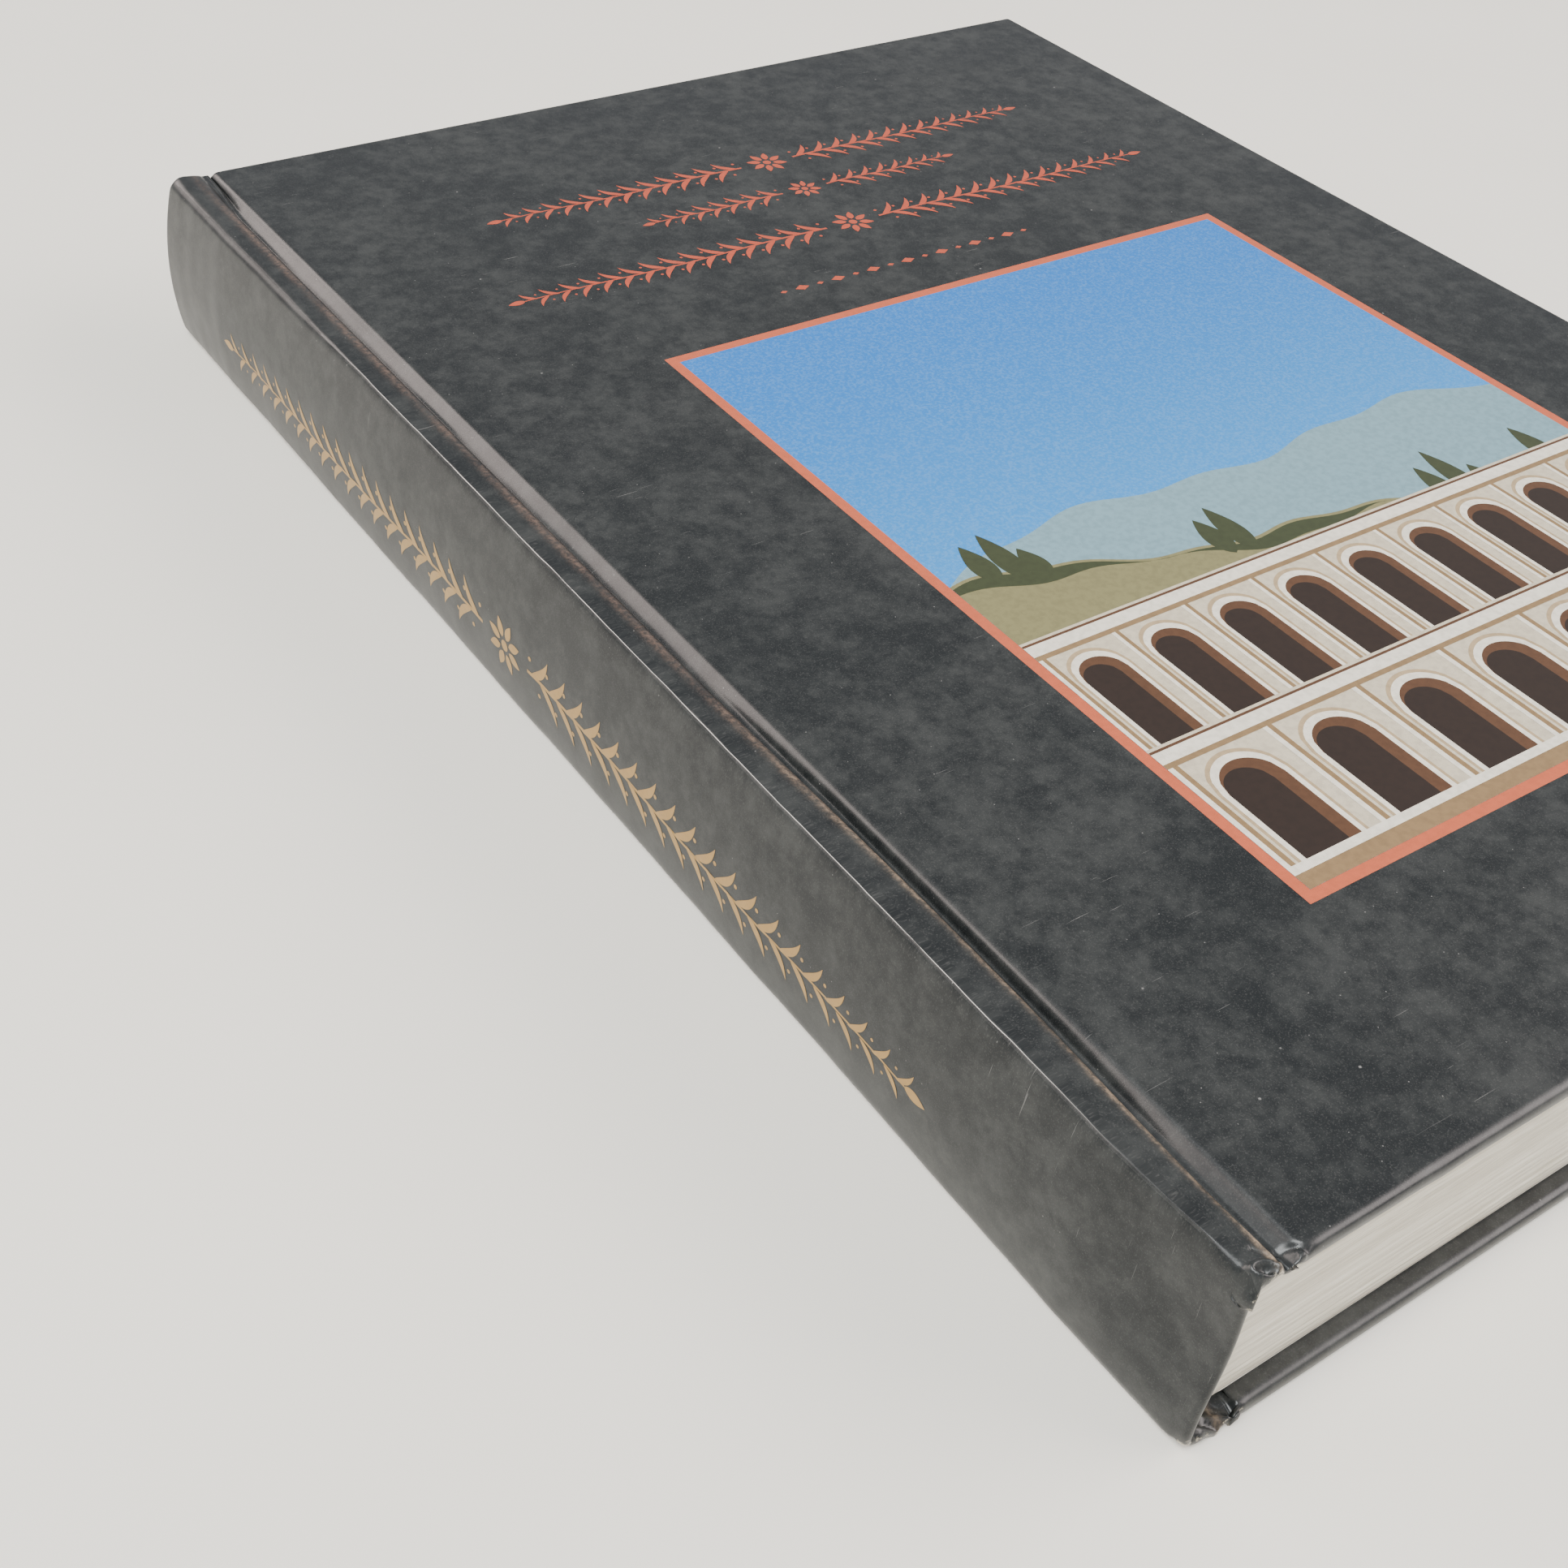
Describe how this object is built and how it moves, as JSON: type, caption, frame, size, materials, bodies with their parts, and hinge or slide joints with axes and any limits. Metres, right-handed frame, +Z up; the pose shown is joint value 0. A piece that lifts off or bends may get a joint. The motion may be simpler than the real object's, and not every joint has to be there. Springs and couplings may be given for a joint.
{
  "type": "hardcover book",
  "caption": "Large case-bound book with a flat, slightly curved spine, French grooves, printed paper over boards, and front and back covers that open.",
  "frame": {"origin": "on the surface that the book lies on, under the middle of its box", "axes": "+Z up through the closed book, +Y from tail to head along the spine, +X from the spine to the fore edge"},
  "size_m": [0.2166, 0.303, 0.0333],
  "materials": {
    "leaves": "satin",
    "lining_cloth": "matte",
    "spine_card": "matte",
    "cover_paper": "satin",
    "board": "matte",
    "endpaper": "matte"
  },
  "bodies": {
    "pages_and_spine": {"text_block": "leaves", "spine_lining": "lining_cloth", "spine_inlay": "spine_card", "spine_cover_paper": "cover_paper", "front_flyleaf": "endpaper", "back_flyleaf": "endpaper"},
    "front_cover": {"front_board": "board", "front_cover_paper": "cover_paper", "front_pastedown": "endpaper"},
    "back_cover": {"back_board": "board", "back_cover_paper": "cover_paper", "back_pastedown": "endpaper"}
  },
  "joints": [
    {"name": "front_cover_hinge", "type": "hinge", "parent": "pages_and_spine", "child": "front_cover", "pos_m": [-0.0995, 0, 0.03345], "axis": [0, -1, 0], "range_deg": [0, 180]},
    {"name": "back_cover_hinge", "type": "hinge", "parent": "pages_and_spine", "child": "back_cover", "pos_m": [-0.0995, 0, -0.00015], "axis": [0, 1, 0], "range_deg": [0, 180]}
  ]
}
